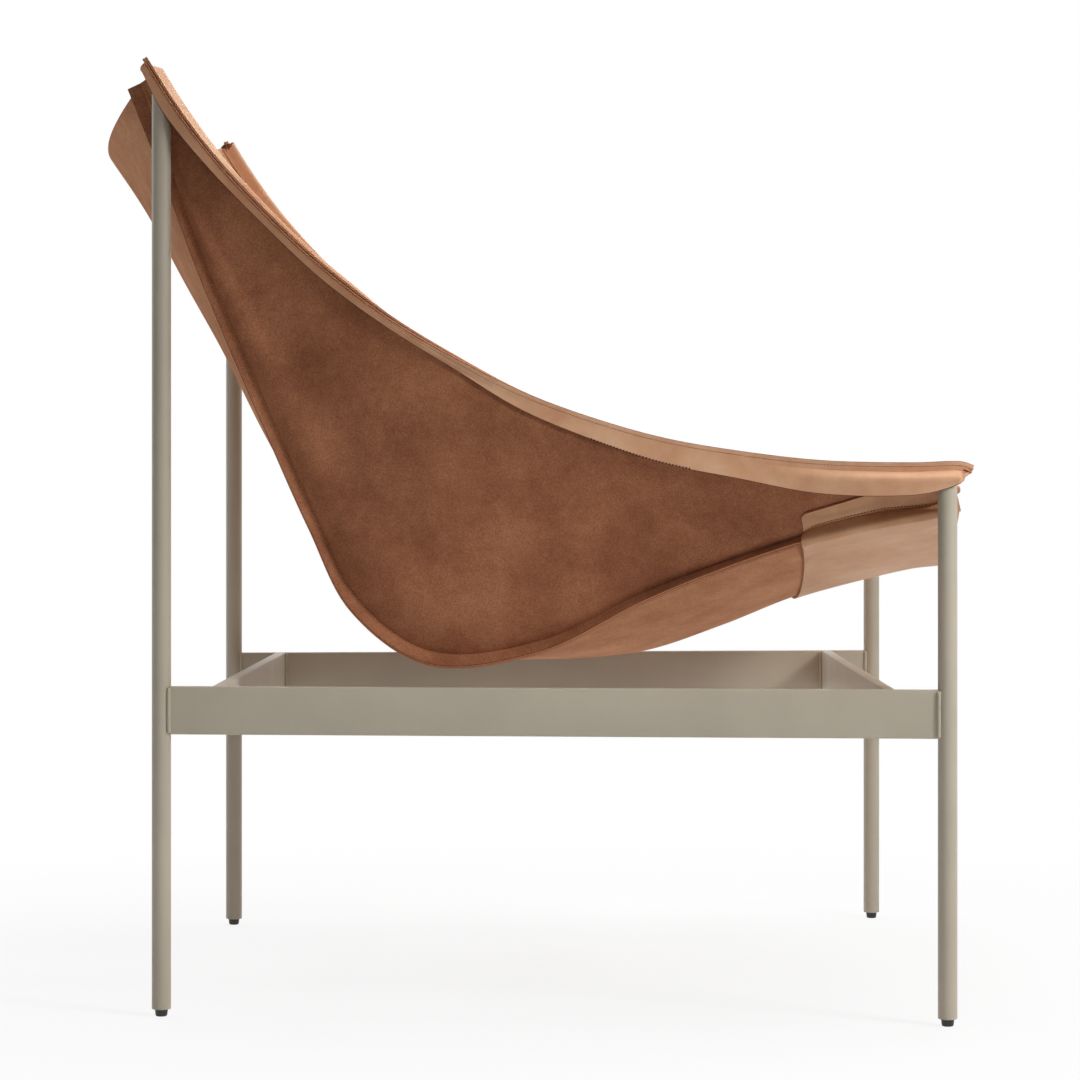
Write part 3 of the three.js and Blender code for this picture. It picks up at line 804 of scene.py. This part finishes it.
# shownSides says, for the first and the last column, which corner of the cut edge shows: the outer
# one (1), the inner one (-1) or both (0). The other lies against the next sheet and stays crisper.
def sheetPiece(name, rows, facing, materials, shownSides, facingColumns=None):
    normals = gridNormals(rows, facing)
    m, n, half = len(rows), len(rows[0]), sling["leather"] / 2
    depths = [half] * n
    if facingColumns:
        starts, full, gone = facingColumns
        for j in range(starts, gone):
            depths[j] += sidePanel["facing"] * (smoothstep(j, starts, starts + 4) if j < full
                                                else 1 - smoothstep(j, full, gone))
    points = [rows[i][j] + normals[i][j] * (half if side > 0 else -depths[j])
              for side in (1, -1) for i in range(m) for j in range(n)]
    faces, kinds = [], []

    def at(face, i, j):
        return face * m * n + i * n + j

    for i in range(m - 1):
        for j in range(n - 1):
            faces.append((at(0, i, j), at(0, i, j + 1), at(0, i + 1, j + 1), at(0, i + 1, j)))
            faces.append((at(1, i, j), at(1, i + 1, j), at(1, i + 1, j + 1), at(1, i, j + 1)))
            # The skived strip where the facing ends takes the dark corner colour, as painted shade under its
            # edge.
            skived = facingColumns and facingColumns[1] <= j < facingColumns[2]
            kinds += [0, 3 if skived else 1]
    loops, rim = [], rimOf(m, n)
    for i, j in rim:
        outward = Vector()
        for inside, here in (((i, 1), j == 0), ((i, n - 2), j == n - 1), ((1, j), i == 0),
                             ((m - 2, j), i == m - 1)):
            if here:
                outward += (rows[i][j] - rows[inside[0]][inside[1]]).normalized()
        normal = normals[i][j]
        outward = (outward - normal * outward.dot(normal)).normalized()
        side = 0 if i in (0, m - 1) else shownSides[0 if j == 0 else 1]
        radii = [cutEdges["shown" if side in (0, k) else "hidden"] for k in (1, -1)]
        points[at(0, i, j)] -= outward * radii[0]
        points[at(1, i, j)] -= outward * radii[1]
        first = len(points)
        for k, radius in zip((1, -1), radii):
            bent = rows[i][j] + normal * k * (half - radius * (1 - cutEdges["bend"]))
            bent -= outward * radius * (1 - cutEdges["bend"])
            square = rows[i][j] + normal * k * (half - radius)
            points += [bent, square] if k > 0 else [square, bent]
        loops.append([at(0, i, j), *range(first, first + 4), at(1, i, j)])
    for k in range(len(rim)):
        here, there = loops[k], loops[(k + 1) % len(rim)]
        for step in range(5):
            faces.append((here[step], there[step], there[step + 1], here[step + 1]))
            # Corner strips take the dark corner colour, partly painted shade between plies; the rest, plain
            # cut edge.
            kinds.append(2 if step == 2 or here[0] >= at(0, m - 1, 0) else 3)
    mesh = bpy.data.meshes.new(name)
    mesh.from_pydata([point / 1000 for point in points], [], faces)
    for material in materials:
        mesh.materials.append(material)
    mesh.polygons.foreach_set("material_index", kinds)
    piece = bpy.data.objects.new(name, mesh)
    bpy.context.scene.collection.objects.link(piece)
    pick(piece, "FACE", lambda at, facing: True)
    endEdit(50)
    return piece, normals


def sheetSizes(rows):
    middleColumn = [row[len(row) // 2] for row in rows]
    length = sum((b - a).length for a, b in zip(middleColumn, middleColumn[1:]))
    widths = [sum((b - a).length for a, b in zip(row, row[1:])) for row in rows]
    area = 0
    for before, after in zip(rows, rows[1:]):
        for j in range(len(before) - 1):
            a, b, c, d = before[j], before[j + 1], after[j + 1], after[j]
            area += ((b - a).cross(c - a).length + (c - a).cross(d - a).length) / 2
    return max(widths) / 1000, length / 1000, area / 1e6


def declareSheet(piece, rows, held, *restsOn):
    width, length, area = sheetSizes(rows)
    length = max(length, area / width)
    print(f"{piece.name}: flat {width:.3f} x {length:.3f} m, {area:.4f} m2")


# Stitches: each is a short arch of thread between two needle holes, which are drawn larger than real
# so that they show.
stitchLook = {"pitch": 2.85, "length": 1.8, "thread": 0.3, "rise": 0.16, "sink": 0.35, "sides": 6,
              "rings": (-0.5, -0.42, -0.2, 0.2, 0.42, 0.5), "lift": 0.08, "crown": 0.16, "holeDepth": 0.5,
              "holes": {"top": 0.24, "band": 0.7, "seam": 0.6, "cuff": 0.75}}


def threadPiece(name, row, lines):
    points, faces, kinds = [], [], []
    for line in lines:
        gone, nextAt = 0.0, stitchLook["pitch"] / 2
        for (a, normal), (b, nextNormal) in zip(line, line[1:]):
            run = (b - a).length
            while gone + run > nextAt:
                centre = a.lerp(b, (nextAt - gone) / run)
                addStitch(points, faces, centre, (b - a).normalized(), normal)
                kinds += [0] * (len(faces) - len(kinds))
                addHole(points, faces, centre, (b - a).normalized(), normal, stitchLook["holes"][row])
                kinds += [1] * (len(faces) - len(kinds))
                nextAt += stitchLook["pitch"]
            gone += run
    mesh = bpy.data.meshes.new(name)
    mesh.from_pydata([p / 1000 for p in points], [], faces)
    mesh.materials.append(thread)
    mesh.materials.append(needleHole)
    mesh.polygons.foreach_set("material_index", kinds)
    mesh.shade_smooth()
    piece = bpy.data.objects.new(name, mesh)
    bpy.context.scene.collection.objects.link(piece)
    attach(piece, "sling")
    return piece


def addStitch(points, faces, centre, along, normal):
    sideways = normal.cross(along).normalized()
    first, sides = len(points), stitchLook["sides"]
    for share in stitchLook["rings"]:
        lift = mix(stitchLook["rise"], -stitchLook["sink"], (2 * abs(share)) ** 2.5)
        thin = 0.6 if abs(share) == 0.5 else 1
        middle = centre + along * (share * stitchLook["length"]) + normal * lift
        for k in range(sides):
            angle = 2 * math.pi * k / sides
            points.append(middle + (sideways * math.cos(angle) + normal * math.sin(angle))
                          * stitchLook["thread"] * thin)
    rings = len(stitchLook["rings"])
    for r in range(rings - 1):
        for k in range(sides):
            a, b = first + r * sides + k, first + r * sides + (k + 1) % sides
            faces.append((a, b, b + sides, a + sides))
    faces.append(tuple(range(first + sides - 1, first - 1, -1)))
    faces.append(tuple(range(first + (rings - 1) * sides, first + rings * sides)))


def addHole(points, faces, centre, along, normal, radius):
    sideways = normal.cross(along).normalized()
    first, sides = len(points), stitchLook["sides"]
    middle = centre + along * (stitchLook["pitch"] / 2)
    for k in range(sides):
        angle = 2 * math.pi * k / sides
        points.append(middle + (sideways * math.cos(angle) + along * math.sin(angle)) * radius
                      + normal * stitchLook["lift"])
    points += [middle + normal * stitchLook["crown"], middle - normal * stitchLook["holeDepth"]]
    for k in range(sides):
        a, b = first + k, first + (k + 1) % sides
        faces += [(a, first + sides, b), (a, b, first + sides + 1)]


def faceLine(rows, normals, column, side=1, span=(0, 1)):
    first, last = (round(share * (len(rows) - 1)) for share in span)
    return [(rows[i][column] + normals[i][column] * side * sling["leather"] / 2, normals[i][column] * side)
            for i in range(first, last + 1)]


def lineOnBothSides(rows, normals, column, span):
    return [faceLine(rows, normals, k, 1, span) for k in (column, len(rows[0]) - 1 - column)]


def sideRows(keysAt, steps, hand):
    turned = mirrored if hand == "right" else Vector
    return [[turned(p) for p in rowThrough(keysAt(u, pocket["tips"][hand]), steps)] for u in stations]


# The last number pair of a thread line is the part of the seam where its stitches show.
stations = sorted([k / sling["rows"] for k in range(sling["rows"] + 1)] + sling["noseRows"])
for hand, side in (("right", -1), ("left", 1)):
    panelRows = sideRows(sidePanelKeys, panelSteps, hand)
    panel, panelNormals = sheetPiece(f"side_panel_{hand}_hide", panelRows, Vector((0, side, 0)),
                                     [suedeOuter, smoothInner, rawEdge, rubbedAndShadedCorner], (-1, 1),
                                     [columnOf(panelSteps, key) for key in facingKeys])
    finishPiece(panel, panel.name, "sling", "suede", None, f"side_panel_{hand}")
    declareSheet(panel, panelRows, "hung", f"back_leg_{hand}", f"front_leg_{hand}")
    bandRows = sideRows(outerBandKeys, bandSteps, hand)
    band, bandNormals = sheetPiece(f"outer_band_{hand}_hide", bandRows, Vector((0, side, 0)),
                                   [smoothInner, suedeOuter, rawEdge, rubbedAndShadedCorner], (1, 0))
    finishPiece(band, band.name, "sling", "smooth_leather", None, f"outer_band_{hand}")
    declareSheet(band, bandRows, "stretched", f"side_panel_{hand}_hide")
    threadPiece(f"top_seam_thread_{hand}", "top", [
        faceLine(panelRows, panelNormals, columnOf(panelSteps, 1), -1, (0.3, 0.98)),
        faceLine(bandRows, bandNormals, columnOf(bandSteps, 1), 1, (0.03, 0.98))])
    threadPiece(f"band_thread_{hand}", "band", [
        faceLine(bandRows, bandNormals, columnOf(bandSteps, 7) - 1, 1, (0.56, 0.656))])
    threadPiece(f"seam_thread_{hand}", "seam", [
        faceLine(panelRows, panelNormals, columnOf(panelSteps, 17), 1, (0.13, 0.78))])
print("side panels and bands made")

centreRows = [bothSides(rowThrough(centreHalfKeys(u), halfSteps)) for u in stations]
# Its outer face is the lighter under-seat suede, which paints in light bounced up from the floor.
centre, centreNormals = sheetPiece("centre_panel_hide", centreRows, Vector((0, 0, -1)),
                                   [suedeUnderBounceLight, smoothInner, rawEdge, rubbedAndShadedCorner], (1, 1))
finishPiece(centre, centre.name, "sling", "suede", None, "centre_panel")
declareSheet(centre, centreRows, "hung", "side_panel_right_hide", "side_panel_left_hide")
seamColumn = columnOf(halfSteps, 3) - 2
threadPiece("under_seam_thread", "seam",
            lineOnBothSides(centreRows, centreNormals, seamColumn, (0.1, 0.78)))
print("centre panel made")

cuffStations = [mix(frontCuff["start"], 1, k / frontCuff["rows"]) for k in range(frontCuff["rows"] + 1)]
cuffRows = [bothSides(rowThrough(cuffHalfKeys(u), cuffSteps)) for u in cuffStations]
cuff, cuffNormals = sheetPiece("front_cuff_hide", cuffRows, Vector((0, 0, -1)),
                               [smoothCuff, suedeOuter, rawEdge, rubbedAndShadedCorner], (1, 1))
finishPiece(cuff, cuff.name, "sling", "smooth_leather", None, "front_cuff")
declareSheet(cuff, cuffRows, "stretched", "centre_panel_hide")
cuffColumn = columnOf(cuffSteps, 4) - 4  # just above the crease
threadPiece("cuff_thread", "cuff", lineOnBothSides(cuffRows, cuffNormals, cuffColumn, (0.03, 0.97)))
print("cuff made")


# The studio: a pale floor, a white ground behind it, soft light from above and from both sides.
studio = {
    "floorSize": 14, "floorTone": 0.9, "shadow": 0.14, "shadowReach": (0.4, 1.2),
    "top": {"place": (0.2, 0.6, 3.0), "size": (3.4, 2.6), "power": 90},
    "side": {"place": (2.4, -1.8, 2.0), "size": (0.8, 0.8), "power": 3.2, "spread": 36,
             "aim": (-0.2, 0, -0.05)},
    "back": {"place": (-2.8, 1.6, 1.2), "size": (1.4, 2.0), "power": 10},
    "fill": {"place": (0.4, -4.2, 2.0), "size": (2.2, 1.6), "power": 9},
    "ambient": 0.04,
}


def seenDirectly(tree):
    path = addNode(tree, "LightPath")
    mirrorToo = addNode(tree, "Math", {"operation": "MAXIMUM"}, n0=path.outputs["Is Camera Ray"],
                        n1=path.outputs["Is Glossy Ray"])
    glassToo = addNode(tree, "Math", {"operation": "MAXIMUM"}, n0=mirrorToo.outputs[0],
                       n1=path.outputs["Is Transmission Ray"])
    return glassToo.outputs[0]


def makeFloor():
    bpy.ops.mesh.primitive_plane_add(size=studio["floorSize"], location=(0, 0, 0))
    floor = bpy.context.object
    floor.name = "studio_floor"
    material = bpy.data.materials.new("matt_white_floor")
    material.use_nodes = True
    tree = material.node_tree
    tree.nodes.clear()
    paint = addNode(tree, "BsdfDiffuse", Color=(studio["floorTone"],) * 3 + (1,))
    glow = addNode(tree, "Emission", Color=(1, 1, 1, 1), Strength=1.0)
    here = addNode(tree, "TexCoord").outputs["Object"]
    away = addNode(tree, "VectorMath", {"operation": "LENGTH"}, n0=here).outputs["Value"]
    near, far = studio["shadowReach"]
    catch = addNode(tree, "MapRange", {"interpolation_type": "SMOOTHSTEP"}, n0=away, n1=near, n2=far,
                    n3=studio["shadow"], n4=0.0)
    seen = addNode(tree, "MixShader", n0=catch.outputs[0], n1=glow.outputs[0], n2=paint.outputs[0])
    both = addNode(tree, "MixShader", n0=seenDirectly(tree), n1=paint.outputs[0], n2=seen.outputs[0])
    addNode(tree, "OutputMaterial", Surface=both.outputs[0])
    floor.data.materials.append(material)


def makeWorld():
    world = bpy.data.worlds.new("white_ground")
    bpy.context.scene.world = world
    world.use_nodes = True
    tree = world.node_tree
    tree.nodes.clear()
    white = addNode(tree, "Background", Color=(1, 1, 1, 1), Strength=1.0)
    dim = addNode(tree, "Background", Color=(1, 1, 1, 1), Strength=studio["ambient"])
    both = addNode(tree, "MixShader", n0=seenDirectly(tree), n1=dim.outputs[0], n2=white.outputs[0])
    addNode(tree, "OutputWorld", Surface=both.outputs[0])


def makeLamp(name, look):
    lamp = bpy.data.lights.new(name, "AREA")
    lamp.shape, (lamp.size, lamp.size_y) = "RECTANGLE", look["size"]
    lamp.energy = look["power"]
    lamp.spread = math.radians(look.get("spread", 180))
    shown = bpy.data.objects.new(name, lamp)
    shown.location = look["place"]
    aim = Vector(look.get("aim", (0.02, 0, 0.42)))  # the middle of the sling
    shown.rotation_euler = (aim - shown.location).to_track_quat("-Z", "Y").to_euler()
    bpy.context.scene.collection.objects.link(shown)


makeFloor()
makeWorld()
for name in ("top", "side", "back", "fill"):
    makeLamp(f"{name}_softbox", studio[name])

# The camera: a long lens at seat height, square to the chair's right side.
view = {"place": (0.0447, -2.9036, 0.436), "lens": 104.5, "sensor": 36, "shift": (-34 / 1080, -45 / 1080)}
camera = bpy.data.cameras.new("camera")
camera.lens, camera.sensor_width = view["lens"], view["sensor"]
camera.shift_x, camera.shift_y = view["shift"]
standing = bpy.data.objects.new("camera", camera)
standing.location, standing.rotation_euler = view["place"], (math.radians(90), 0, 0)
bpy.context.scene.collection.objects.link(standing)
bpy.context.scene.camera = standing
bpy.context.scene.view_settings.view_transform = "Standard"
print("studio made")
